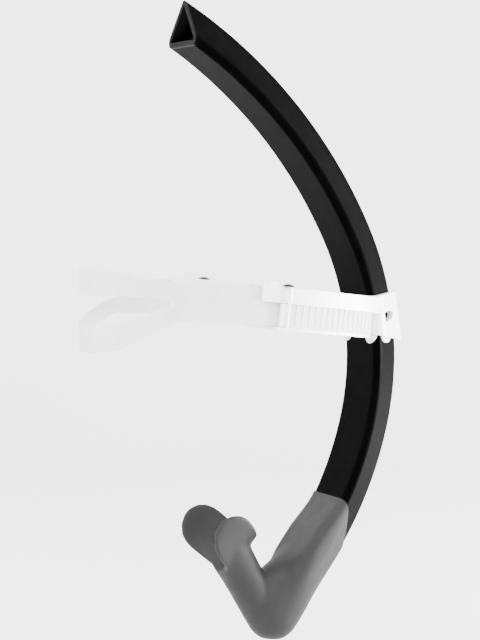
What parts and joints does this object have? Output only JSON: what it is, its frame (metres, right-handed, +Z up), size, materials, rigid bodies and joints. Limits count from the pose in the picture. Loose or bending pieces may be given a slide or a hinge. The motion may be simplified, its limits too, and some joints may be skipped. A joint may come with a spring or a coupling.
{
  "type": "snorkel",
  "caption": "Centre-mount swimmer's snorkel: curved three-sided tube, silicone elbow and mouthpiece with purge valve, forehead bracket, cam buckles and split head strap.",
  "frame": {"origin": "centre of the forehead pad's rear face", "axes": "+X forward, away from the forehead; +Z up along the tube's length; +Y to the swimmer's left"},
  "size_m": [0.2361, 0.1424, 0.4301],
  "materials": {
    "tube_plastic": "satin moulded plastic",
    "trim_plastic": "fine matt",
    "grey_silicone": "matt silicone",
    "valve_plastic": "matt",
    "valve_silicone": "smooth",
    "white_plastic": "satin",
    "soft_liner": "soft matt",
    "pin_steel": "turned",
    "cap_plastic": "gloss",
    "white_silicone": "matt silicone"
  },
  "bodies": {
    "bracket": {"bracket": "white_plastic", "collar_liner": "soft_liner", "forehead_pad": "soft_liner", "right_pin": "pin_steel", "left_pin": "pin_steel", "right_pin_cap": "cap_plastic", "left_pin_cap": "cap_plastic", "strap": "white_silicone"},
    "tube": {"tube": "tube_plastic", "end_trim": "trim_plastic", "elbow": "grey_silicone", "bite_shield": "grey_silicone", "purge_seat": "valve_plastic", "purge_cover": "valve_plastic"},
    "purge_flap": {"purge_flap": "valve_silicone"},
    "right_lever": {"right_lever": "white_plastic"},
    "left_lever": {"left_lever": "white_plastic"}
  },
  "joints": [
    {"name": "tube_slide", "type": "hinge", "parent": "bracket", "child": "tube", "pos_m": [-0.1715, 0, -0.028], "axis": [0, -1, 0], "range_deg": [-11, 15]},
    {"name": "purge_lift", "type": "slide", "parent": "tube", "child": "purge_flap", "axis": [0, 0, -1], "range_m": [0, 0.0012], "stiffness_N_per_m": 20, "springref_m": -0.0005},
    {"name": "right_lever_swing", "type": "hinge", "parent": "bracket", "child": "right_lever", "pos_m": [-0.07793, -0.06782, 0.01088], "axis": [0.1132, 0, 0.9936], "range_deg": [0, 75]},
    {"name": "left_lever_swing", "type": "hinge", "parent": "bracket", "child": "left_lever", "pos_m": [-0.07793, 0.06782, 0.01088], "axis": [-0.1132, 0, -0.9936], "range_deg": [0, 75]}
  ]
}
